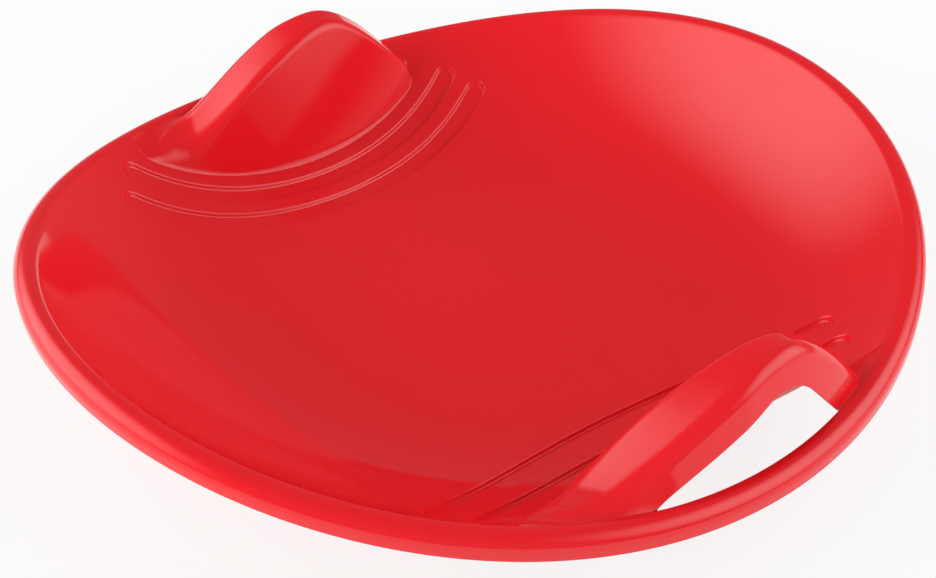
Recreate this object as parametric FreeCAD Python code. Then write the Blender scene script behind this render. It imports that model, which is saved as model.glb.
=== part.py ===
"""Saucer sled: a thin dish with a rolled rim, two hollow handle hoods and four grip grooves.

Millimetres, +Z up. The origin is the middle of the flat that the sled stands on.
The handles are at +X and -X, and the sled slides along Y.
The sled is one moulding, split into a pan, a rim and two handles that meet face to face.
"""
import FreeCAD, Part
import math
import os
from itertools import combinations
from FreeCAD import Vector

os.makedirs("parts", exist_ok=True)

# Dish
rim_radius = 300.0         # outside of the rim in plan
side_rise = 68.0           # climb from the middle to the rim edge, beside the handles
end_rise = 127.0           # the same climb at the front and the back
wall = 2.5                 # thickness of the moulding
rest_flat_depth = 0.3      # how far the underside is flattened where it stands

# Rolled rim
roll_radius = 9.0          # outside radius of the roll
lip_depth = 15.0           # drop from the crest of the roll to the lip's lower edge
rim_width = 18.0           # width of the rim ring in plan
roll_arcs = 6              # short arcs that the roll is made of
rim_stations = 24          # cross-sections round the rim
settling_rounds = 20       # rounds in which the start of the roll settles on the dish

# Handle hoods
handle_reach = 89.0        # from the rim edge in to the foot of the hood's inner wall
handle_bend = 311.0        # plan radius of that foot line
handle_setback = 12.0      # how far behind the middle of the dish the hoods sit
inner_draft = 17.7         # lean of the inner wall, degrees
outer_foot_inset = 15.0    # from the rim edge in to the foot of the outer wall
outer_ridge_inset = 27.0   # from the rim edge in to the top of the outer wall
crest_rise = 42.5          # from the rim edge of the dish up to the highest point of the crest line
crest_inset = 39.0         # from the inner foot line out to the crest line
crest_lead = 27.5          # how far ahead of the hood's middle the crest peaks
crown_radius = 60.0        # rounding of the crest line at its peak
rear_slope = 22.8          # fall of the crest line towards the back, degrees
front_slope = 50.0         # fall of the crest line towards the front, degrees
band_tilt = 8.5            # how much the top band climbs outwards, degrees
band_least_share = 1.6     # least width of the top band for its edge rounding, where it runs into the dish
edge_radius = 10.0         # rounding of the two long top edges
foot_radius = 5.0          # rounding where the hood rises from the dish
zone_inset = 14.0          # from the rim edge in to where a handle meets the rim
hood_stations = 21         # cross-sections along the hood
hood_root = 14.0           # how far the hood's walls are drawn on below the dish

# Finger window in the outer wall of a hood
window_drop = 17.0         # from the crest peak down to the top of the window
window_crown_radius = 30.0
window_lead = 23.5         # how far ahead of the dish's middle the window peaks

# Grip grooves in the dish
groove_gap = 12.0          # from the hood's foot line to the first groove
groove_width = 15.0
groove_pitch = 28.3        # between the middles of the two grooves
groove_depth = 3.0
groove_half_run = 150.0    # from the hood's middle to the end of the first groove, along it
groove_count = 2

overrun = 4.0              # how far cutting bodies pass what they cut
edge_match = 0.05          # how close to a skin the middle of an edge lies that is on it

# Derived sizes
lift = wall - rest_flat_depth
crest_height = lift + side_rise + crest_rise
bend_x = rim_radius - handle_reach + handle_bend
crest_radius = handle_bend - crest_inset
first_groove_radius = handle_bend + groove_gap + groove_width / 2
foot_circle = rim_radius - outer_foot_inset
ridge_circle = rim_radius - outer_ridge_inset
span = rim_radius + overrun
tall = crest_height + end_rise + overrun
patch_degree = 4


def under_rise(climb):
    """Climb of the underside, so that the wall stays even where the dish is steep."""
    return climb - wall * (math.hypot(1, 4 * climb / rim_radius) - 1)


# A skin is a saddle-edged bowl: its climb beside the handles, its climb at the ends and its middle
top_skin = (side_rise, end_rise, lift)
under_skin = (under_rise(side_rise), under_rise(end_rise), lift - wall)


def skin_height(skin, x, y):
    side, end, middle = skin
    return middle + (x * x + y * y) * (side * x * x + end * y * y) / rim_radius ** 4


def power_pole(power, index):
    """Bezier coefficient of t**power over the patch's span."""
    ends = [span] * index + [-span] * (patch_degree - index)
    picks = list(combinations(ends, power))
    return sum(math.prod(pick) for pick in picks) / len(picks)


def below(skin):
    """Everything under a skin, as one exact quartic patch drawn down."""
    side, end, middle = skin
    steps = range(patch_degree + 1)
    poles = []
    for i in steps:
        row = []
        for j in steps:
            quartic = side * power_pole(4, i) + end * power_pole(4, j)
            quartic += (side + end) * power_pole(2, i) * power_pole(2, j)
            x = span * (2 * i / patch_degree - 1)
            y = span * (2 * j / patch_degree - 1)
            row.append(Vector(x, y, middle + quartic / rim_radius ** 4))
        poles.append(row)
    ends = [patch_degree + 1, patch_degree + 1]
    patch = Part.BSplineSurface()
    patch.buildFromPolesMultsKnots(poles, ends, ends, [0, 1], [0, 1], False, False, patch_degree, patch_degree)
    return patch.toShape().extrude(Vector(0, 0, -tall))


def column(radius):
    """An upright cylinder on the sled's axis, taller than the sled."""
    return Part.makeCylinder(radius, 2 * tall, Vector(0, 0, -tall))


def bend_column(radius):
    """An upright cylinder on the axis that the hood and its grooves bend round."""
    return Part.makeCylinder(radius, 2 * tall, Vector(bend_x, -handle_setback, -tall))


def mirrored(shape):
    return shape.mirror(Vector(0, 0, 0), Vector(1, 0, 0))


def edges_on(body, skin, wanted):
    """Edges of a body whose middles lie on a skin and pass a test."""
    found = []
    for edge in body.Edges:
        point = edge.valueAt((edge.FirstParameter + edge.LastParameter) / 2)
        if abs(point.z - skin_height(skin, point.x, point.y)) < edge_match and wanted(point):
            found.append(edge)
    return found


def bend_point(out, z, angle):
    """A point at a distance out from the hood's foot line, at an angle round the bend."""
    radius = handle_bend - out
    x = bend_x - radius * math.cos(angle)
    y = radius * math.sin(angle) - handle_setback
    return Vector(x, y, z)


def out_to(plan_radius, angle):
    """Distance out from the foot line at which a ray of the bend meets a circle of the dish."""
    along = bend_x * math.cos(angle) + handle_setback * math.sin(angle)
    square = along ** 2 - bend_x ** 2 - handle_setback ** 2 + plan_radius ** 2
    return handle_bend - along + math.sqrt(square)


def dish_height(out, angle):
    point = bend_point(out, 0, angle)
    return skin_height(top_skin, point.x, point.y)


def crest_line(along):
    """Height of the crest at a distance along it: two straight flanks joined by an arc."""
    rear = math.radians(rear_slope)
    front = math.radians(front_slope)
    step = along - crest_lead
    if step < -crown_radius * math.sin(rear):
        straight = -step - crown_radius * math.sin(rear)
        return crest_height - crown_radius * (1 - math.cos(rear)) - straight * math.tan(rear)
    if step > crown_radius * math.sin(front):
        straight = step - crown_radius * math.sin(front)
        return crest_height - crown_radius * (1 - math.cos(front)) - straight * math.tan(front)
    return crest_height - crown_radius + math.sqrt(crown_radius ** 2 - step ** 2)


def meet(point_a, way_a, point_b, way_b):
    """Where two lines in a cross-section meet."""
    cross = way_a[0] * way_b[1] - way_a[1] * way_b[0]
    gap = (point_b[0] - point_a[0], point_b[1] - point_a[1])
    share = (gap[0] * way_b[1] - gap[1] * way_b[0]) / cross
    return (point_a[0] + share * way_a[0], point_a[1] + share * way_a[1])


def unit(point_a, point_b):
    length = math.hypot(point_b[0] - point_a[0], point_b[1] - point_a[1])
    return ((point_b[0] - point_a[0]) / length, (point_b[1] - point_a[1]) / length)


def moved(point, way, distance):
    return (point[0] + way[0] * distance, point[1] + way[1] * distance)


def rightward(way):
    return (way[1], -way[0])


def hood_section(along, inset, root):
    """Closed cross-section of a hood at a distance along its crest line, inset by a wall."""
    angle = along / crest_radius
    lean = math.radians(inner_draft)
    tilt = math.radians(band_tilt)
    inner_way = (math.sin(lean), math.cos(lean))
    top_way = (math.cos(tilt), math.sin(tilt))
    crest = (crest_inset, crest_line(along))
    inner_foot = (0, dish_height(0, angle))
    inner_top = meet(inner_foot, inner_way, crest, top_way)
    ridge_out = max(out_to(ridge_circle, angle), inner_top[0] + band_least_share * edge_radius)
    ridge = (ridge_out, crest[1] + (ridge_out - crest_inset) * math.tan(tilt))
    foot_out = max(out_to(foot_circle, angle), ridge_out + outer_ridge_inset - outer_foot_inset)
    outer_foot = (foot_out, min(dish_height(foot_out, angle), ridge[1] - hood_root))
    outer_way = unit(ridge, outer_foot)
    inner_base = min(inner_foot[1], inner_top[1] - hood_root) - root
    outer_base = outer_foot[1] - root

    inner_line = moved(inner_foot, rightward(inner_way), inset)
    top_line = moved(ridge, rightward(top_way), inset)
    outer_line = moved(ridge, rightward(outer_way), inset)
    inner_top = meet(inner_line, inner_way, top_line, top_way)
    outer_top = meet(top_line, top_way, outer_line, outer_way)
    inner_end = meet(inner_line, inner_way, (0, inner_base), (1, 0))
    outer_end = meet(outer_line, outer_way, (0, outer_base), (1, 0))

    def at(point):
        return bend_point(point[0], point[1], angle)

    rounding = edge_radius - inset
    edges = []
    start = inner_end
    for corner, way_in, way_out in ((inner_top, inner_way, top_way), (outer_top, top_way, outer_way)):
        turn = math.acos(way_in[0] * way_out[0] + way_in[1] * way_out[1])
        reach = rounding * math.tan(turn / 2)
        first = moved(corner, way_in, -reach)
        last = moved(corner, way_out, reach)
        middle = moved(corner, unit(way_in, way_out), rounding / math.cos(turn / 2) - rounding)
        edges.append(Part.makeLine(at(start), at(first)))
        edges.append(Part.Arc(at(first), at(middle), at(last)).toShape())
        start = last
    edges.append(Part.makeLine(at(start), at(outer_end)))
    edges.append(Part.makeLine(at(outer_end), at(inner_end)))
    return Part.Wire(edges)


def sunk_end(step):
    """Distance along the crest line at which the hood has sunk through the dish."""
    along = 0
    while crest_line(along) > dish_height(0, along / crest_radius) - 2 * wall:
        along += step
    return along


def hood_body(inset, root, extra):
    """A solid hood lofted through its cross-sections, inset by a wall and drawn on at its ends."""
    rear = sunk_end(-overrun) - extra
    step = (sunk_end(overrun) + extra - rear) / (hood_stations - 1)
    sections = [hood_section(rear + step * station, inset, root) for station in range(hood_stations)]
    return Part.makeLoft(sections, True, False)


def window_cut():
    """A prism along X with the outline of the finger window: two flanks and a round top."""
    rear = math.radians(rear_slope)
    front = math.radians(front_slope)
    inside = rim_radius - handle_reach + crest_inset
    peak = crest_height - window_drop
    centre = peak - window_crown_radius
    left = window_lead - window_crown_radius * math.sin(rear)
    right = window_lead + window_crown_radius * math.sin(front)
    left_height = centre + window_crown_radius * math.cos(rear)
    right_height = centre + window_crown_radius * math.cos(front)
    left_end = Vector(inside, left - left_height / math.tan(rear), 0)
    left_top = Vector(inside, left, left_height)
    right_top = Vector(inside, right, right_height)
    right_end = Vector(inside, right + right_height / math.tan(front), 0)
    arc = Part.Arc(left_top, Vector(inside, window_lead, peak), right_top).toShape()
    edges = [Part.makeLine(left_end, left_top), arc]
    edges += [Part.makeLine(right_top, right_end), Part.makeLine(right_end, left_end)]
    return Part.Face(Part.Wire(edges)).extrude(Vector(handle_reach, 0, 0))


def groove_band(radius, width):
    """A prism whose plan is an arc-shaped slot with round ends."""
    half = width / 2
    sweep = groove_half_run / first_groove_radius - groove_width / 2 / radius
    middle = handle_bend - radius
    inner = middle + half
    outer = middle - half
    past = sweep + half / radius

    def at(out, angle):
        return bend_point(out, -groove_depth - wall - overrun, angle)

    edges = [
        Part.Arc(at(outer, -sweep), at(outer, 0), at(outer, sweep)).toShape(),
        Part.Arc(at(outer, sweep), at(middle, past), at(inner, sweep)).toShape(),
        Part.Arc(at(inner, sweep), at(inner, 0), at(inner, -sweep)).toShape(),
        Part.Arc(at(inner, -sweep), at(middle, -past), at(outer, -sweep)).toShape(),
    ]
    return Part.Face(Part.Wire(edges)).extrude(Vector(0, 0, tall))


def grooved(skin, width):
    """Body under a skin with the grooves of both handles pressed in."""
    side, end, middle = skin
    body = below(skin)
    floor = below((side, end, middle - groove_depth))
    for index in range(groove_count):
        pocket = groove_band(first_groove_radius + index * groove_pitch, width).cut(floor)
        body = body.cut(pocket).cut(mirrored(pocket))
    return body


def hooded(skin, hood, rounding):
    """Body under a skin with the right hood on it, rounded at the foot of the hood."""
    body = below(skin).fuse(hood)

    def at_foot(point):
        radius = math.hypot(point.x, point.y)
        return radius < rim_radius and abs(radius - foot_circle) > wall

    return body.makeFillet(rounding, edges_on(body, skin, at_foot))


def rim_section(turn):
    """Closed cross-section of the rim at an angle round the sled: dish edge, roll and lip."""
    x, y = math.cos(turn), math.sin(turn)

    def at(radius, z):
        return Vector(radius * x, radius * y, z)

    def on(skin, radius):
        return at(radius, skin_height(skin, radius * x, radius * y))

    def steepness(radius):
        return 4 * (skin_height(top_skin, radius * x, radius * y) - lift) / radius

    roll_centre = rim_radius - roll_radius
    start = roll_centre
    for _ in range(settling_rounds):
        start = roll_centre - roll_radius * math.sin(math.atan(steepness(start)))
    slope = math.atan(steepness(start))
    top = on(top_skin, start)
    centre = top.z - roll_radius * math.cos(slope)
    lip = centre + roll_radius - lip_depth
    hollow_radius = roll_radius - wall
    first = math.pi / 2 + slope

    def round_at(radius, angle):
        return at(roll_centre + radius * math.cos(angle), centre + radius * math.sin(angle))

    def roll(radius, begin, end):
        """The roll from one angle to another, as a chain of short arcs."""
        step = (end - begin) / (2 * roll_arcs)
        marks = [round_at(radius, begin + step * index) for index in range(2 * roll_arcs + 1)]
        return [Part.Arc(*marks[index:index + 3]).toShape() for index in range(0, 2 * roll_arcs, 2)]

    inner = rim_radius - rim_width - overrun
    under = round_at(hollow_radius, first)
    under_radius = math.hypot(under.x, under.y)
    edges = [Part.Arc(on(top_skin, inner), on(top_skin, (inner + start) / 2), top).toShape()]
    edges += roll(roll_radius, first, 0)
    edges += [
        Part.makeLine(at(rim_radius, centre), at(rim_radius, lip)),
        Part.makeLine(at(rim_radius, lip), at(rim_radius - wall, lip)),
        Part.makeLine(at(rim_radius - wall, lip), at(rim_radius - wall, centre)),
    ]
    edges += roll(hollow_radius, 0, first)
    edges += [
        Part.Arc(under, on(under_skin, (inner + under_radius) / 2), on(under_skin, inner)).toShape(),
        Part.makeLine(on(under_skin, inner), on(top_skin, inner)),
    ]
    return Part.Wire(edges)


def save(name, shape):
    solid = shape.Solids[0]
    solid.exportStep(f"parts/{name}.step")
    print(f"{name}: {len(shape.Solids)} solid, valid {solid.isValid()}, {solid.Volume:.0f} mm3")


# Zones of the moulding: inside the rim, and round the right handle
rim_inside = column(rim_radius - rim_width)
handle_zone = column(rim_radius - zone_inset).common(bend_column(handle_bend + groove_gap / 2))

# Handles
upper = hooded(top_skin, hood_body(0, hood_root, 0), foot_radius)
lower = hooded(under_skin, hood_body(wall, 2 * hood_root, overrun), foot_radius + wall)
window = window_cut()
right_handle = upper.common(handle_zone).cut(lower).cut(window)

# Dish pan, with its grooves and the flat that it stands on
pan = grooved(top_skin, groove_width).common(rim_inside)
pan = pan.cut(grooved(under_skin, groove_width + 2 * wall))
floor = Part.makeBox(2 * span, 2 * span, tall, Vector(-span, -span, -tall))
dish_pan = pan.cut(handle_zone).cut(mirrored(handle_zone)).cut(floor)

# Rim
turns = [2 * math.pi * station / rim_stations for station in range(rim_stations)]
ring = Part.makeLoft([rim_section(turn) for turn in turns], True, False, True)
rolled_rim = ring.cut(rim_inside).cut(handle_zone).cut(mirrored(handle_zone))

save("dish_pan", dish_pan)
save("rolled_rim", rolled_rim)
save("right_handle", right_handle)
save("left_handle", mirrored(right_handle))
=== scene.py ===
"""Saucer sled in a white studio, seen from the photograph's angle. Metres, +Z up.

Each piece of the moulding is a closed mesh worked out from the sled's own sizes, so that
its edges are rounded and its surface runs on smoothly from one piece into the next.
"""
import bpy
import math
import numpy as np
from mathutils import Matrix, Vector
from mathutils.geometry import delaunay_2d_cdt


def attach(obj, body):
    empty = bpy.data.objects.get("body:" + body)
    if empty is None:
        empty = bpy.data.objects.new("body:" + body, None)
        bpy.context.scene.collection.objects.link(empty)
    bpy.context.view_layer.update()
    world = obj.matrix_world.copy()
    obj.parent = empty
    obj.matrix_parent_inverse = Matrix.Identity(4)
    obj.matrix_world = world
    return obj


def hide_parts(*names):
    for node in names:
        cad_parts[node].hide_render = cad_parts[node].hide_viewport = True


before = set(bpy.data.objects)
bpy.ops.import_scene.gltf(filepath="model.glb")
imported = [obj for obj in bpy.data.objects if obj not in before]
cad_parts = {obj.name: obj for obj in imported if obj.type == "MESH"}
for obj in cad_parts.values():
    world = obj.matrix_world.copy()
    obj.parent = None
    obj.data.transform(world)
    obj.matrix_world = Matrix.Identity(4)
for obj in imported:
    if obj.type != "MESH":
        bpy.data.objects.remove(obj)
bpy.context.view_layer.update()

# Dish
rim_radius = 0.300
side_rise = 0.068            # climb from the middle to the rim, at the handles
end_rise = 0.127             # the same at the front and the back
climb_power = 4              # the height grows with this power of the distance from the middle
wall = 0.0025
rest_flat_depth = 0.0003     # depth to which the underside is cut flat to stand on

# Rolled rim
roll_radius = 0.009
lip_depth = 0.015
seam_inset = 0.014           # from the rim edge in to where the other pieces meet the rim

# Handle hoods, seen from above
handle_reach = 0.089         # from the rim edge in to the middle of a hood's foot line
handle_bend = 0.311          # radius of the foot line
handle_setback = 0.012       # by which a hood's middle lies behind the sled's
outer_foot_inset = 0.015     # from the rim edge in to the foot of the outer wall
outer_ridge_inset = 0.027    # and to its top
crest_inset = 0.039          # from the foot line out to the crest
pivot_inset = 0.010          # and to the place where the top band runs out into the dish
corner_radius = 0.012        # of a hood's inner corners
tail_end, front_end = -0.117, 0.107      # places of a hood's ends along the crest
seam_gap = 0.006             # from the foot line in to the seam with the pan

# Handle hoods, crest and walls
rear_grade, front_grade = 0.510, 1.234   # slopes of the crest before and after its peak
peak_lead = 0.0490                       # place along the crest where the two slopes would meet
peak_rise = 0.0648                       # and its height above the rim beside the handle
peak_rounding = 0.025                    # reach of the bend between the two slopes
inner_draft = math.radians(17.7)         # lean of the inner wall
outer_climb = 4.2                        # slope of the outer wall at the front
steep_start, steep_full = 0.0, 0.0275    # distances forward over which the outer wall gets that slope

# Handle hoods, top band and its two ends, with distances back or forward along the crest
band_tilt = math.radians(8.5)            # of the band across the hood
tail_tilt, front_tilt = 0.42, 0.57       # its slopes at the two ends
turn_start, turn_full = 0.015, 0.100     # distances back over which the band gets the tail's slope
tail_start, tail_full = 0.030, 0.110     # distances back over which the other sizes change
front_start, front_full = 0.030, 0.105   # distances forward over which all sizes change
tail_run, front_run = 0.036, 0.004       # heights over which the two ends run out into the dish
tail_sink = 0.014                        # depth to which the tail sinks at its end
sink_start, sink_full = 0.092, 0.130     # distances back over which it sinks

# Handle hoods, roundings
edge_radius = 0.010                      # of the two edges along the top band
tail_inner_radius, front_inner_radius = 0.032, 0.014
tail_outer_radius, front_outer_radius = 0.018, 0.007
least_radius = 0.003
radius_share, tail_radius_share = 0.6, 1.1   # most that a radius may be, as a share of the width
foot_reach = 0.0016          # height over which a hood's foot is rounded into the dish
tail_reach = 0.006           # the same at the tail
rim_reach = 0.0005           # and next to the rim
rim_fade = 0.012             # distance over which the rounding narrows towards the rim

# Finger window
window_rise = 0.0255         # height of its peak above the rim beside the handle
window_crown_radius = 0.030
window_lead = 0.0235         # place of its peak, towards the front
window_rear_slope, window_front_slope = math.radians(22.8), math.radians(50)
window_margin = 0.002        # height over which the rim's edge turns round under the window

# Grip grooves
groove_gap = 0.012           # from a hood's foot line in to the first groove
groove_width = 0.015
groove_pitch = 0.0283
groove_depth = 0.003
groove_half_run = 0.150
groove_count = 2
groove_wall_slope = 2.0
groove_rounding = 0.0010     # height over which a groove's edges are rounded

# Mesh of the pan
lattice_step = 0.009         # between points away from the grooves and the edge
lattice_stretch = 1.15       # by which the step is longer along the sled than across it
lattice_reach = 40           # steps from the middle to beyond the rim
lattice_margin = 0.001       # by which the points keep clear of the edge
contour_step = 0.0035        # between points along an edge
groove_end_step = contour_step / 3
margin_step = 0.00025        # between the lines of points along a groove's walls
contour_margins = margin_step * np.array([*range(-7, 8), *range(9, 18, 2)])
rim_insets = (0.0015, 0.003, 0.006)      # lines of points inside the pan's edge
middle_points = 65           # along the line where the pan's two halves meet
inside_only = 1              # the triangulation's own number for keeping inside the outline

# Mesh of the handles
handle_stations = 200
row_counts = (4, 6, 14, 10, 8, 10, 12, 4)    # rows between the lines of a hood
# The least and the most that each line may lie along the way from the pan to the handle's outer edge
row_least_shares = (0, 0.02, 0.05, 0.07, 0.1, 0.2, 0.3, 0.6, 1)
row_most_shares = (0, 0.2, 0.3, 0.55, 0.65, 0.85, 0.92, 0.985, 1)
nose_points = 8              # across a rounded edge
tip_margin = 0.0004          # angle by which a handle's mesh stops short of its pointed ends

# Mesh of the rim
rim_stations = 480
roll_steps, lip_steps, hollow_steps = 20, 8, 14

# Working accuracy
roll_rounds = 20             # rounds in which the start of the roll is found
search_steps, search_rounds = 80, 30     # steps and halvings in which the window's edge is found
probe = 0.00005              # step for the slopes of the surfaces
merge_digits = 7             # decimals to which two points count as one
merge_distance = 1e-7
tiny_length = 1e-12          # keeps a division away from zero

# Plastic
deep_red, light_red = (0.75, 0.010, 0.016, 1), (0.77, 0.011, 0.0175, 1)
noise_scale, noise_detail = 9.0, 2.0
plastic_roughness = 0.09
plastic_ior = 1.5

# Camera
picture_width = 936          # pixels
focal_length = 1467.3        # pixels
sensor_width = 36.0          # millimetres
camera_elevation, camera_azimuth = math.radians(36.85), math.radians(-33.02)
camera_roll = math.radians(-2.53)
camera_target = Vector((-0.0145, 0.0053, 0.0022))
camera_distance = 1.0549

# Studio
floor_size = 30
floor_colour = (0.85, 0.85, 0.85, 1)
floor_roughness = 0.9
floor_white_share = 0.82     # of the floor, which is white to the eye whatever the light
world_level = 0.20
soft_box_distance = 2.2
soft_edge_share = 0.8        # of a soft box's half size, over which it fades out
soft_boxes = (               # name, azimuth, elevation, width and height, brightness, seen in reflections
    ("left_soft_box", math.radians(-133), math.radians(30), (4.8, 3.2), 2.3, True),
    ("right_soft_box", math.radians(46), math.radians(33), (4.3, 3.2), 2.3, True),
    ("left_fill", math.radians(-105), math.radians(15), (3.2, 2.0), 4.8, False),
    ("back_fill", math.radians(110), math.radians(15), (3.2, 2.0), 4.6, False),
    ("front_fill", math.radians(-25), math.radians(20), (3.2, 2.0), 2.4, False),
)

# Derived sizes
lift = wall - rest_flat_depth
bend_x = rim_radius - handle_reach + handle_bend
bend_centre = (bend_x, -handle_setback)
crest_radius = handle_bend - crest_inset
peak_height = lift + side_rise + peak_rise
window_peak = lift + side_rise + window_rise
foot_circle = rim_radius - outer_foot_inset
ridge_circle = rim_radius - outer_ridge_inset
seam_circle = rim_radius - seam_inset
seam_bend = handle_bend + seam_gap
roll_centre = rim_radius - roll_radius
hollow_radius = roll_radius - wall
edge_round = wall / 2


def under_rise(climb):
    """Climb of the underside, so that the wall stays even where the dish is steep."""
    return climb - wall * (math.hypot(1, climb_power * climb / rim_radius) - 1)


# A skin of the dish: its climb at the sides and at the ends, and the height of its middle
top_skin = (side_rise, end_rise, lift)
under_skin = (under_rise(side_rise), under_rise(end_rise), lift - wall)


def dish(skin, x, y):
    """Height of a skin of the dish."""
    side, end, middle = skin
    return middle + (x * x + y * y) * (side * x * x + end * y * y) / rim_radius ** climb_power


def roll_at(x, y):
    """Angle at which the roll leaves the dish on the ray through a point, and its centre's height."""
    radius = np.maximum(np.hypot(x, y), probe)
    x, y = x / radius, y / radius
    start = np.full_like(radius, roll_centre)
    for _ in range(roll_rounds):
        slope = np.arctan(climb_power * (dish(top_skin, start * x, start * y) - lift) / start)
        start = roll_centre - roll_radius * np.sin(slope)
    return slope, dish(top_skin, start * x, start * y) - roll_radius * np.cos(slope)


def rolled(x, y, skin, round_radius):
    """Height of a skin of the dish that runs on into the rim's roll."""
    slope, centre = roll_at(x, y)
    out = np.hypot(x, y) - roll_centre
    arc = centre + np.sqrt(np.maximum(round_radius ** 2 - out ** 2, 0))
    return np.where(out > -round_radius * np.sin(slope), arc, dish(skin, x, y))


def top_of_dish(x, y):
    """Height of the dish's upper side."""
    return rolled(x, y, top_skin, roll_radius)


def under_of_dish(x, y):
    """Height of the dish's underside, which is cut flat to stand on."""
    return np.maximum(rolled(x, y, under_skin, hollow_radius), 0)


def merged(first, second, reach):
    """The higher of two surfaces, with their crossing rounded over a height."""
    near = np.maximum(reach - np.abs(first - second), 0) / reach
    return np.maximum(first, second) + near ** 2 * reach / 4


def eased(value, start, end):
    """Share that grows smoothly from 0 at the start to 1 at the end."""
    share = np.clip((value - start) / (end - start), 0, 1)
    return share * share * (3 - 2 * share)


def bend_place(out, angle):
    """Plan place at a distance out from the hood's foot line, at an angle round the bend."""
    radius = handle_bend - out
    return bend_x - radius * np.cos(angle), radius * np.sin(angle) - handle_setback


def bend_reading(x, y):
    """Distance out from the foot line and angle round the bend of a plan place."""
    away_x, away_y = bend_x - x, y + handle_setback
    return handle_bend - np.hypot(away_x, away_y), np.arctan2(away_y, away_x)


def out_to(plan_radius, angle):
    """Distance out from the foot line at which a ray of the bend meets a circle of the dish."""
    along = bend_x * np.cos(angle) + handle_setback * np.sin(angle)
    square = along ** 2 - bend_x ** 2 - handle_setback ** 2 + plan_radius ** 2
    return handle_bend - along + np.sqrt(np.maximum(square, 0))


def window_height(y):
    """Height of the window's upper edge, which has two straight flanks joined by an arc."""
    step = y - window_lead
    behind = -step - window_crown_radius * math.sin(window_rear_slope)
    ahead = step - window_crown_radius * math.sin(window_front_slope)
    centre = window_peak - window_crown_radius

    def flank(run, slope):
        return centre + window_crown_radius * math.cos(slope) - run * math.tan(slope)

    top = centre + np.sqrt(np.maximum(window_crown_radius ** 2 - step ** 2, 0))
    rear, front = flank(behind, window_rear_slope), flank(ahead, window_front_slope)
    return np.where(behind > 0, rear, np.where(ahead > 0, front, top))


def corner_cut(beyond):
    """How far a hood's foot line turns away as it nears an end, so that the corner there is round."""
    share = np.clip(beyond / corner_radius + 1, 0, 1)
    return corner_radius * (1 - np.sqrt(1 - share ** 2))


def crest_line(along):
    """Height of a hood's crest, which bends smoothly from its rear slope into its front slope."""
    step = along - peak_lead
    spread = (rear_grade + front_grade) / 2 * np.hypot(step, peak_rounding)
    return peak_height + (rear_grade - front_grade) / 2 * step - spread


def top_band(angle, along, tail, front):
    """Height of a hood's top band at the pivot, and its slope across the hood.

    The shares that the hood's two ends have in its form are given as tail and front. Towards the tail
    the band swings down round the hood's outer ridge, until it lies along the dish.
    """
    ground = dish(top_skin, *bend_place(pivot_inset, angle))
    middle_tilt = math.tan(band_tilt)
    turned = eased(-along, turn_start, turn_full) * (tail_tilt - middle_tilt)
    swing = np.maximum(out_to(ridge_circle, angle) - pivot_inset, 0) * turned
    rise = crest_line(along) - (crest_inset - pivot_inset) * middle_tilt - swing - ground
    run = front_run + (tail_run - front_run) * tail
    sink = tail_sink * eased(-along, sink_start, sink_full)
    pivot = ground + merged(rise, 0, run) - sink
    return pivot, middle_tilt + turned + (front_tilt - middle_tilt) * front


def band_radius(tail_radius, front_radius, tail, front, most):
    """Radius of an edge of the top band, which changes towards the hood's two ends."""
    radius = edge_radius + (tail_radius - edge_radius) * tail + (front_radius - edge_radius) * front
    return np.clip(radius, least_radius, np.maximum(most, least_radius))


def hood_section(angle):
    """Cross-section of a hood: its inner, top and outer lines and its two roundings.

    A line is a point and a direction, and a rounding a centre and a radius. Both are given as distance
    out from the foot line and height.
    """
    along = crest_radius * angle
    tail, front = eased(-along, tail_start, tail_full), eased(along, front_start, front_full)
    pivot, tilt = top_band(angle, along, tail, front)
    foot_in = corner_cut(along - front_end) + corner_cut(tail_end - along)
    foot = dish(top_skin, *bend_place(foot_in, angle))
    foot_out = out_to(foot_circle, angle)
    outer_foot = dish(top_skin, *bend_place(foot_out, angle))
    climb = 1 / math.tan(inner_draft)
    inner_top = (pivot - pivot_inset * tilt - foot + climb * foot_in) / (climb - tilt)
    steep_ridge = (outer_foot + outer_climb * foot_out - pivot + pivot_inset * tilt) / (outer_climb + tilt)
    ridge_out = out_to(ridge_circle, angle)
    ridge_out = ridge_out + (steep_ridge - ridge_out) * eased(along, steep_start, steep_full)
    ridge = pivot + (ridge_out - pivot_inset) * tilt
    width = ridge_out - inner_top
    inner_most = width * (radius_share + (tail_radius_share - radius_share) * tail)
    inner_radius = band_radius(tail_inner_radius, front_inner_radius, tail, front, inner_most)
    outer_radius = band_radius(tail_outer_radius, front_outer_radius, tail, front, width * radius_share)
    top_length = np.hypot(1, tilt)
    outer_length = np.hypot(foot_out - ridge_out, outer_foot - ridge)
    inner = (foot_in, foot, math.sin(inner_draft), math.cos(inner_draft))
    top = (np.full_like(angle, pivot_inset), pivot, 1 / top_length, tilt / top_length)
    outer = (ridge_out, ridge, (foot_out - ridge_out) / outer_length, (outer_foot - ridge) / outer_length)
    first = (*crossing(inner, top, inner_radius), inner_radius)
    second = (*crossing(top, outer, outer_radius), outer_radius)
    return inner, top, outer, first, second


def inset_line(line, inset):
    """A line of the cross-section, moved in by an inset."""
    out, height, out_way, up_way = line
    return out + inset * up_way, height - inset * out_way, out_way, up_way


def crossing(first, second, inset):
    """Where two lines meet once both are moved in by an inset."""
    out_a, height_a, out_way_a, up_way_a = inset_line(first, inset)
    out_b, height_b, out_way_b, up_way_b = inset_line(second, inset)
    cross = out_way_a * up_way_b - up_way_a * out_way_b
    share = ((out_b - out_a) * up_way_b - (height_b - height_a) * out_way_b) / cross
    return out_a + share * out_way_a, height_a + share * up_way_a


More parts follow.
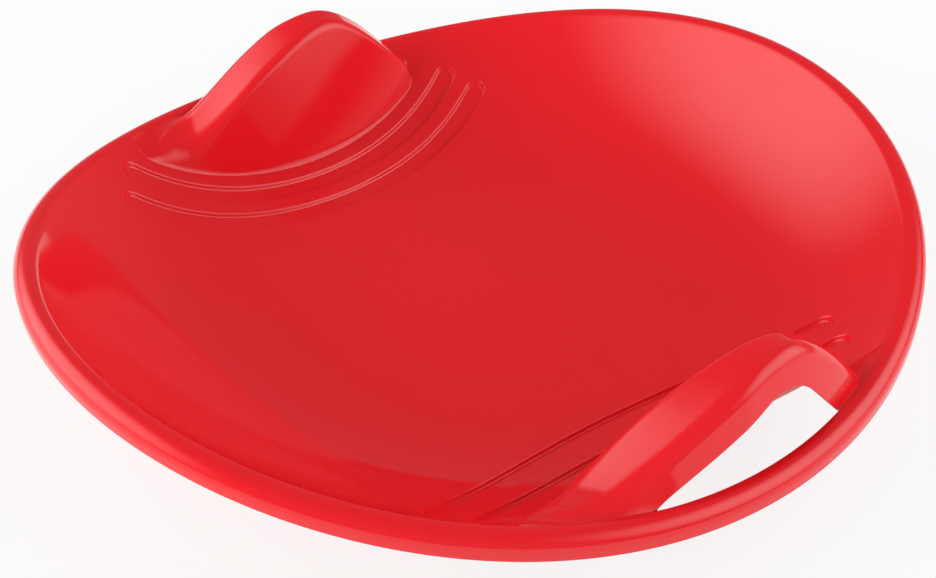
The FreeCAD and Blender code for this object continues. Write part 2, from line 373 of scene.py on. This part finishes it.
def hood_marks(angle, inset):
    """Distances out at which a hood's two top roundings begin and end."""
    inner, top, outer, first, second = hood_section(angle)

    def mark(rounding, line):
        centre_out, _, radius = rounding
        _, _, _, up_way = line
        return centre_out - (radius - inset) * up_way

    return mark(first, inner), mark(first, top), mark(second, top), mark(second, outer)


def hood_height(out, angle, inset):
    """Height of a hood's skin, which lies an inset below its upper side."""
    inner, top, outer, first, second = hood_section(angle)

    def straight(line):
        start, height, out_way, up_way = inset_line(line, inset)
        return height + (out - start) * up_way / out_way

    def arc(rounding):
        centre_out, centre_height, radius = rounding
        return centre_height + np.sqrt(np.maximum((radius - inset) ** 2 - (out - centre_out) ** 2, 0))

    marks = hood_marks(angle, inset)
    heights = [straight(inner), arc(first), straight(top), arc(second)]
    return np.select([out < mark for mark in marks], heights, straight(outer))


def rounding_reach(x, y, angle, least):
    """Height over which a hood is rounded into the dish: more at its tail, less beside the rim."""
    tail = eased(-crest_radius * angle, tail_start, tail_full)
    reach = least + (tail_reach - least) * tail
    inside = eased(seam_circle - np.hypot(x, y), 0, rim_fade)
    return rim_reach + (reach - rim_reach) * inside


def top_of_handle(x, y):
    """Height of a handle's upper side, where the hood stands on the dish."""
    out, angle = bend_reading(x, y)
    reach = rounding_reach(x, y, angle, foot_reach)
    return merged(top_of_dish(x, y), hood_height(out, angle, 0), reach)


def under_of_handle(x, y):
    """Height of a handle's underside, which is hollow below the hood."""
    out, angle = bend_reading(x, y)
    reach = rounding_reach(x, y, angle, foot_reach + wall)
    return merged(under_of_dish(x, y), hood_height(out, angle, wall), reach)


def groove_radius(index):
    """Radius of a groove's middle line round the bend."""
    return handle_bend + groove_gap + groove_width / 2 + index * groove_pitch


def groove_sweep(index):
    """Half angle from a groove's middle to the centre of its round end."""
    return groove_half_run / groove_radius(0) - groove_width / 2 / groove_radius(index)


def groove_drop(x, y, margin):
    """Depth of the grooves at a place, for outlines that are a margin wider than the grooves."""
    x = np.abs(x)
    out, angle = bend_reading(x, y)
    drop = np.zeros_like(x)
    for index in range(groove_count):
        radius, sweep = groove_radius(index), groove_sweep(index)
        end_x, end_y = bend_place(handle_bend - radius, np.sign(angle) * sweep)
        from_end = np.hypot(x - end_x, y - end_y)
        from_arc = np.abs(handle_bend - out - radius)
        edge = np.where(np.abs(angle) > sweep, from_end, from_arc) - groove_width / 2 - margin
        side = groove_wall_slope * edge - groove_depth / 2
        bed = merged(side, -groove_depth, groove_rounding)
        drop = drop + merged(-bed, 0, groove_rounding)
    return drop


def top_of_pan(x, y):
    """Height of the pan's upper side, with the grooves pressed into it."""
    return top_of_dish(x, y) - groove_drop(x, y, 0)


def under_of_pan(x, y):
    """Height of the pan's underside, where the grooves stand out."""
    return np.maximum(under_of_dish(x, y) - groove_drop(x, y, wall), 0)


def surface(height, x, y):
    """Points and upward normals of a height surface."""
    points = np.stack([x, y, height(x, y)], axis=-1)
    slope_x = (height(x + probe, y) - height(x - probe, y)) / (2 * probe)
    slope_y = (height(x, y + probe) - height(x, y - probe)) / (2 * probe)
    return points, unit(np.stack([-slope_x, -slope_y, np.ones_like(x)], axis=-1))


def unit(vectors):
    """Vectors brought to length 1."""
    return vectors / np.maximum(np.linalg.norm(vectors, axis=-1, keepdims=True), tiny_length)


def patch(points, faces, normals):
    """Points, faces and normals of a stretch of surface, with the faces turned to the normals' side."""
    corners = points[faces] - points[faces[:, :1]]
    facing = np.cross(corners, np.roll(corners, -1, axis=1)).sum(axis=1)
    if np.sum(facing * normals[faces[:, 0]]) < 0:
        faces = faces[:, ::-1]
    return points, faces, normals


def grid_patch(points, normals):
    """Quads between the rows and columns of a grid."""
    rows, columns = points.shape[:2]
    index = np.arange(rows * columns).reshape(rows, columns)
    quads = np.stack([index[:-1, :-1], index[1:, :-1], index[1:, 1:], index[:-1, 1:]], axis=-1)
    return patch(points.reshape(-1, 3), quads.reshape(-1, 4), normals.reshape(-1, 3))


def strip_patch(upper, lower):
    """A wall between two lines of points, which faces to the left of their course."""
    points = np.stack([upper, lower], axis=1)
    normals = unit(np.cross(upper - lower, np.gradient(upper, axis=0)))
    return grid_patch(points, np.stack([normals, normals], axis=1))


def cap_patch(outline, outward):
    """One face inside a ring of points."""
    return patch(outline, np.arange(len(outline))[None], np.broadcast_to(unit(outward), outline.shape))


def mirrored(patches):
    """The same patches on the other side of the sled."""
    turned = np.array([-1, 1, 1])
    return [(points * turned, faces[:, ::-1], normals * turned) for points, faces, normals in patches]


def add_piece(name, node, patches, material):
    """One closed mesh from patches that meet, which keeps each patch's own normals."""
    points, face_sets, normals = zip(*patches)
    normals = np.concatenate(normals)
    rounded = np.round(np.concatenate(points), merge_digits)
    kept, where = np.unique(rounded, axis=0, return_inverse=True)
    where = where.ravel()
    faces, corners = [], []
    offset = 0
    for patch_points, patch_faces in zip(points, face_sets):
        for face in (patch_faces + offset).tolist():
            ring = [corner for k, corner in enumerate(face) if where[corner] != where[face[k - 1]]]
            if len(ring) > 2:
                faces.append([int(where[corner]) for corner in ring])
                corners += ring
        offset += len(patch_points)
    mesh = bpy.data.meshes.new(name)
    mesh.from_pydata(kept.tolist(), [], faces)
    mesh.polygons.foreach_set("use_smooth", [True] * len(mesh.polygons))
    mesh.normals_split_custom_set(normals[corners].tolist())
    mesh.materials.append(material)
    piece = bpy.data.objects.new(name, mesh)
    bpy.context.scene.collection.objects.link(piece)
    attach(piece, "root")
    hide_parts(node)


def seam_tips():
    """Angles round the bend at which a handle's inner seam runs into the rim."""
    away = math.hypot(bend_x, handle_setback)
    turn = math.acos((seam_bend ** 2 + away ** 2 - seam_circle ** 2) / (2 * seam_bend * away))
    middle = math.atan2(handle_setback, bend_x)
    return middle - turn, middle + turn


def window_end(height, angles, start):
    """Distance out at which each station of a handle ends, and whether that is at the window's arch.

    A station that misses the window ends at the rim.
    """
    finish = out_to(seam_circle, angles)

    def above(out):
        x, y = bend_place(out, angles)
        return height(x, y) - window_height(y) - edge_round

    low, high = start, finish
    found = np.zeros(len(angles), bool)
    for share in np.linspace(0, 1, search_steps)[1:]:
        out = start + (finish - start) * share
        hit = ~found & (above(out) < 0)
        high = np.where(hit, out, high)
        low = np.where(found | hit, low, out)
        found |= hit
    for _ in range(search_rounds):
        middle = (low + high) / 2
        inside = above(middle) > 0
        low = np.where(inside, middle, low)
        high = np.where(inside, high, middle)
    return np.where(found, high, finish), found


def handle_rows(height, angles, inset):
    """Distances out of the rows of a handle's mesh, which follow the lines of the hood."""
    begin = np.full_like(angles, -seam_gap)
    foot = np.full_like(angles, inset)
    marks = hood_marks(angles, inset)
    end, opened = window_end(height, angles, np.minimum(marks[3], out_to(seam_circle, angles)))
    lines = [begin, begin / 2, foot, *marks, out_to(foot_circle, angles) - edge_round, end]
    span = end - begin
    bounded = [
        np.clip(line, begin + span * least, begin + span * most)
        for line, least, most in zip(lines, row_least_shares, row_most_shares)
    ]
    ordered = np.maximum.accumulate(bounded, axis=0)
    rows = []
    for start, finish, count in zip(ordered, ordered[1:], row_counts):
        rows += [start + (finish - start) * step / count for step in range(count)]
    return np.stack(rows + [ordered[-1]], axis=1), opened


def nose_grid(first, second, outward, depth):
    """A rounded edge between two lines of points, which bulges outward by a depth."""
    turns = np.linspace(0, math.pi, nose_points)[None, :, None]
    first, second, outward = first[:, None], second[:, None], outward[:, None]
    depth = depth[:, None, None]
    points = first + (second - first) * (1 - np.cos(turns)) / 2 + outward * depth * np.sin(turns)
    normals = unit(first - second) * np.cos(turns) + outward * np.sin(turns)
    flat = np.broadcast_to(outward, normals.shape)
    return points, unit(np.where(depth > edge_round / 2, normals, flat))


def handle_patches():
    """The right handle: its top, its underside and the edges between them."""
    first_tip, last_tip = seam_tips()
    angles = np.linspace(first_tip + tip_margin, last_tip - tip_margin, handle_stations + 1)
    top_rows, top_opened = handle_rows(top_of_handle, angles, 0)
    under_rows, under_opened = handle_rows(under_of_handle, angles, wall)
    for end in (0, -1):
        under_rows[end] = top_rows[end]
    top, top_normals = surface(top_of_handle, *bend_place(top_rows, angles[:, None]))
    under, under_normals = surface(under_of_handle, *bend_place(under_rows, angles[:, None]))
    outward = unit(top[:, -1] - top[:, -2])
    depth = np.where(top_opened & under_opened, edge_round, 0)
    nose, nose_normals = nose_grid(top[:, -1], under[:, -1], outward, depth)
    caps = []
    for end, inner in ((0, 1), (-1, -2)):
        ring = np.concatenate([top[end], nose[end, 1:-1], under[end, ::-1]])
        caps.append(cap_patch(ring, top[end, 0] - top[inner, 0]))
    return caps + [
        grid_patch(top, top_normals),
        grid_patch(under, -under_normals),
        strip_patch(top[:, 0], under[:, 0]),
        grid_patch(nose, nose_normals),
    ]


def arc_points(centre, radius, start, end, spacing):
    """Plan points along an arc, evenly spaced."""
    count = max(2, math.ceil(abs(end - start) * radius / spacing))
    turns = np.linspace(start, end, count + 1)
    return np.stack([centre[0] + radius * np.cos(turns), centre[1] + radius * np.sin(turns)], axis=1)


def pan_outline():
    """Edge of the right half of the pan, from the front middle to the back middle."""
    first_tip, last_tip = seam_tips()
    tips = [bend_place(-seam_gap, tip) for tip in (last_tip, first_tip)]
    front, back = [math.atan2(y, x) for x, y in tips]
    return np.concatenate([
        arc_points((0, 0), seam_circle, math.pi / 2, front, contour_step)[:-1],
        arc_points(bend_centre, seam_bend, math.pi - last_tip, math.pi - first_tip, contour_step)[:-1],
        arc_points((0, 0), seam_circle, back, -math.pi / 2, contour_step),
    ])


def groove_contours():
    """Closed lines of points along the walls of the right grooves, for their top and their underside."""
    loops = []
    for margin in contour_margins:
        for index in range(groove_count):
            radius, sweep = groove_radius(index), groove_sweep(index)
            half = groove_width / 2 + margin
            front, back = math.pi - sweep, math.pi + sweep
            front_centre = bend_place(handle_bend - radius, sweep)
            back_centre = bend_place(handle_bend - radius, -sweep)
            loops.append(np.concatenate([
                arc_points(bend_centre, radius + half, back, front, contour_step)[:-1],
                arc_points(front_centre, half, front, front - math.pi, groove_end_step)[:-1],
                arc_points(bend_centre, radius - half, front, back, contour_step)[:-1],
                arc_points(back_centre, half, back + math.pi, back, groove_end_step)[:-1],
            ]))
    return loops


def pan_points():
    """Inner points of the right half of the pan, away from the grooves."""
    column, row = np.meshgrid(np.arange(lattice_reach), np.arange(-lattice_reach, lattice_reach + 1))
    x = (column * lattice_step).ravel()
    y = ((row + (column % 2) / 2) * lattice_step * lattice_stretch).ravel()
    lines = [np.stack([x, y], axis=1)]
    for inset in rim_insets:
        lines.append(arc_points((0, 0), seam_circle - inset, math.pi / 2, -math.pi / 2, contour_step))
    points = np.concatenate(lines)
    x, y = points.T
    out, _ = bend_reading(x, y)
    inside = (np.hypot(x, y) < seam_circle - lattice_margin) & (out < -seam_gap - lattice_margin)
    clear = groove_drop(x, y, contour_margins[-1] + contour_step / 2) <= 0
    return points[inside & clear & (x > lattice_margin)]


def pan_patches():
    """The pan: a triangulated half, its mirror image and the wall round the edge."""
    outline = pan_outline()
    ends = seam_circle - np.array(rim_insets)
    middle = np.sort([*np.linspace(-seam_circle, seam_circle, middle_points)[1:-1], *ends, *-ends])
    middle = np.stack([np.zeros_like(middle), middle], axis=1)
    loops = groove_contours()
    plan = np.concatenate([outline, middle, *loops, pan_points()])
    edges = []
    offset = 0
    for loop_length in (len(outline) + len(middle), *map(len, loops)):
        ring = list(range(offset, offset + loop_length)) + [offset]
        edges += zip(ring, ring[1:])
        offset += loop_length
    places = [Vector(place) for place in plan]
    _, _, faces, origins, _, _ = delaunay_2d_cdt(places, edges, [], inside_only, merge_distance)
    source = np.array([ids[0] for ids in origins])
    triangles = source[np.array(faces)]
    x, y = plan.T
    top, top_normals = surface(top_of_pan, x, y)
    under, under_normals = surface(under_of_pan, x, y)
    count = len(outline)
    half = [
        patch(top, triangles, top_normals),
        patch(under, triangles, -under_normals),
        strip_patch(top[:count], under[:count]),
    ]
    return half + mirrored(half)


def rim_patches():
    """The rim: a closed profile of roll, lip and inner wall, carried round the sled."""
    turns = np.linspace(0, 2 * math.pi, rim_stations + 1)
    ray_x, ray_y = np.cos(turns), np.sin(turns)
    edge_y = seam_circle * ray_y
    gap = window_height(edge_y) - top_of_dish(seam_circle * ray_x, edge_y)
    nose = edge_round * eased(gap, 0, window_margin)
    seam = seam_circle + nose
    slope, centre = roll_at(ray_x * roll_centre, ray_y * roll_centre)
    lip = centre + roll_radius - lip_depth + edge_round

    def arc(radius, middle, height, start, end, count):
        shares = np.linspace(0, 1, count + 1)
        angle = start[:, None] + (end - start)[:, None] * shares
        return middle + radius * np.cos(angle), height[:, None] + radius * np.sin(angle)

    level = np.zeros_like(turns)
    top_start = np.arccos((seam - roll_centre) / roll_radius)
    under_start = np.minimum(math.pi / 2 + slope, np.arccos((seam - roll_centre) / hollow_radius))
    outside = arc(roll_radius, roll_centre, centre, top_start, level, roll_steps)
    foot = arc(edge_round, rim_radius - edge_round, lip, level, level - math.pi, lip_steps)
    inside = arc(hollow_radius, roll_centre, centre, level, under_start, hollow_steps)
    seam_under = under_of_dish(seam * ray_x, seam * ray_y)
    radii = np.concatenate([outside[0], foot[0], inside[0], seam[:, None]], axis=1)
    heights = np.concatenate([outside[1], foot[1], inside[1], seam_under[:, None]], axis=1)
    points = np.stack([radii * ray_x[:, None], radii * ray_y[:, None], heights], axis=-1)
    around = np.roll(points[:-1], -1, axis=0) - np.roll(points[:-1], 1, axis=0)
    around = np.concatenate([around, around[:1]])
    normals = unit(np.cross(np.gradient(points, axis=1), around))
    normals[:, 0] = surface(top_of_dish, points[:, 0, 0], points[:, 0, 1])[1]
    normals[:, -1] = -surface(under_of_dish, points[:, -1, 0], points[:, -1, 1])[1]
    inward = -np.stack([ray_x, ray_y, level], axis=1)
    return [grid_patch(points, normals), grid_patch(*nose_grid(points[:, 0], points[:, -1], inward, nose))]


def plastic():
    """Glossy red moulded plastic."""
    material = bpy.data.materials.new("red_plastic")
    material.use_nodes = True
    nodes = material.node_tree.nodes
    links = material.node_tree.links
    shader = nodes["Principled BSDF"]
    noise = nodes.new("ShaderNodeTexNoise")
    noise.inputs["Scale"].default_value = noise_scale
    noise.inputs["Detail"].default_value = noise_detail
    place = nodes.new("ShaderNodeTexCoord")
    links.new(place.outputs["Object"], noise.inputs["Vector"])
    mix = nodes.new("ShaderNodeMix")
    mix.data_type = "RGBA"
    mix.inputs["A"].default_value = deep_red
    mix.inputs["B"].default_value = light_red
    links.new(noise.outputs["Fac"], mix.inputs["Factor"])
    links.new(mix.outputs["Result"], shader.inputs["Base Color"])
    shader.inputs["Roughness"].default_value = plastic_roughness
    shader.inputs["IOR"].default_value = plastic_ior
    return material


def away_from_sled(azimuth, elevation):
    """Direction from the sled towards a camera or a lamp."""
    level = math.cos(elevation)
    return Vector((level * math.cos(azimuth), level * math.sin(azimuth), math.sin(elevation)))


def add_camera():
    """The photograph's camera, with its slight roll."""
    back = away_from_sled(camera_azimuth, camera_elevation)
    right = Vector((-math.sin(camera_azimuth), math.cos(camera_azimuth), 0))
    up = back.cross(right)
    tilted_right = right * math.cos(camera_roll) + up * math.sin(camera_roll)
    tilted_up = up * math.cos(camera_roll) - right * math.sin(camera_roll)
    data = bpy.data.cameras.new("camera")
    data.sensor_fit = "HORIZONTAL"
    data.sensor_width = sensor_width
    data.lens = focal_length * sensor_width / picture_width
    camera = bpy.data.objects.new("camera", data)
    camera.matrix_world = Matrix((
        (tilted_right.x, tilted_up.x, back.x, 0),
        (tilted_right.y, tilted_up.y, back.y, 0),
        (tilted_right.z, tilted_up.z, back.z, 0),
        (0, 0, 0, 1),
    ))
    camera.location = camera_target + back * camera_distance
    bpy.context.scene.collection.objects.link(camera)
    bpy.context.scene.camera = camera


def add_floor():
    """A white floor: partly lit, so that it keeps the shadow, and partly white of its own to the eye."""
    bpy.ops.mesh.primitive_plane_add(size=floor_size, location=(0, 0, 0))
    floor = bpy.context.object
    floor.name = "floor"
    material = bpy.data.materials.new("floor")
    material.use_nodes = True
    nodes = material.node_tree.nodes
    links = material.node_tree.links
    paint = nodes["Principled BSDF"]
    paint.inputs["Base Color"].default_value = floor_colour
    paint.inputs["Roughness"].default_value = floor_roughness
    white = nodes.new("ShaderNodeEmission")
    white.inputs["Strength"].default_value = 1.0
    ray = nodes.new("ShaderNodeLightPath")
    seen_or_mirrored = nodes.new("ShaderNodeMath")
    seen_or_mirrored.operation = "MAXIMUM"
    seen_anyhow = nodes.new("ShaderNodeMath")
    seen_anyhow.operation = "MAXIMUM"
    white_share = nodes.new("ShaderNodeMath")
    white_share.operation = "MULTIPLY"
    white_share.inputs[1].default_value = floor_white_share
    blend = nodes.new("ShaderNodeMixShader")
    links.new(ray.outputs["Is Camera Ray"], seen_or_mirrored.inputs[0])
    links.new(ray.outputs["Is Glossy Ray"], seen_or_mirrored.inputs[1])
    links.new(seen_or_mirrored.outputs[0], seen_anyhow.inputs[0])
    links.new(ray.outputs["Is Transmission Ray"], seen_anyhow.inputs[1])
    links.new(seen_anyhow.outputs[0], white_share.inputs[0])
    links.new(white_share.outputs[0], blend.inputs[0])
    links.new(paint.outputs[0], blend.inputs[1])
    links.new(white.outputs[0], blend.inputs[2])
    links.new(blend.outputs[0], nodes["Material Output"].inputs["Surface"])
    floor.data.materials.append(material)


def add_soft_box(name, azimuth, elevation, size, brightness, in_reflections):
    """A lamp that faces the sled, at full brightness in its middle and fading towards its edges."""
    data = bpy.data.lights.new(name, "AREA")
    data.shape = "RECTANGLE"
    width, height = size
    data.size, data.size_y = width, height
    data.energy = brightness * math.pi * width * height
    data.use_nodes = True
    nodes = data.node_tree.nodes
    links = data.node_tree.links
    place = nodes.new("ShaderNodeNewGeometry")
    # Places on the lamp run from 0 to 1, and from -1 to 1 once they are centred
    centred = nodes.new("ShaderNodeMapping")
    centred.inputs["Location"].default_value = (-1, -1, 0)
    centred.inputs["Scale"].default_value = (2, 2, 0)
    fade = nodes.new("ShaderNodeTexGradient")
    fade.gradient_type = "SPHERICAL"
    edge = nodes.new("ShaderNodeMapRange")
    edge.interpolation_type = "SMOOTHSTEP"
    edge.inputs["From Max"].default_value = soft_edge_share
    links.new(place.outputs["Parametric"], centred.inputs["Vector"])
    links.new(centred.outputs["Vector"], fade.inputs["Vector"])
    links.new(fade.outputs["Fac"], edge.inputs["Value"])
    links.new(edge.outputs["Result"], nodes["Emission"].inputs["Strength"])
    light = bpy.data.objects.new(name, data)
    away = away_from_sled(azimuth, elevation)
    light.location = away * soft_box_distance
    light.rotation_euler = away.to_track_quat("Z", "Y").to_euler()
    light.visible_camera = False
    light.visible_glossy = in_reflections
    bpy.context.scene.collection.objects.link(light)


def add_world():
    """An even dim light all round."""
    world = bpy.data.worlds.new("studio")
    bpy.context.scene.world = world
    world.use_nodes = True
    background = world.node_tree.nodes["Background"]
    background.inputs["Color"].default_value = (1, 1, 1, 1)
    background.inputs["Strength"].default_value = world_level


red = plastic()
handle = handle_patches()
add_piece("dish_pan_skin", "dish_pan", pan_patches(), red)
add_piece("rolled_rim_skin", "rolled_rim", rim_patches(), red)
add_piece("right_handle_skin", "right_handle", handle, red)
add_piece("left_handle_skin", "left_handle", mirrored(handle), red)
add_camera()
add_floor()
add_world()
for soft_box in soft_boxes:
    add_soft_box(*soft_box)
bpy.context.scene.view_settings.view_transform = "Standard"
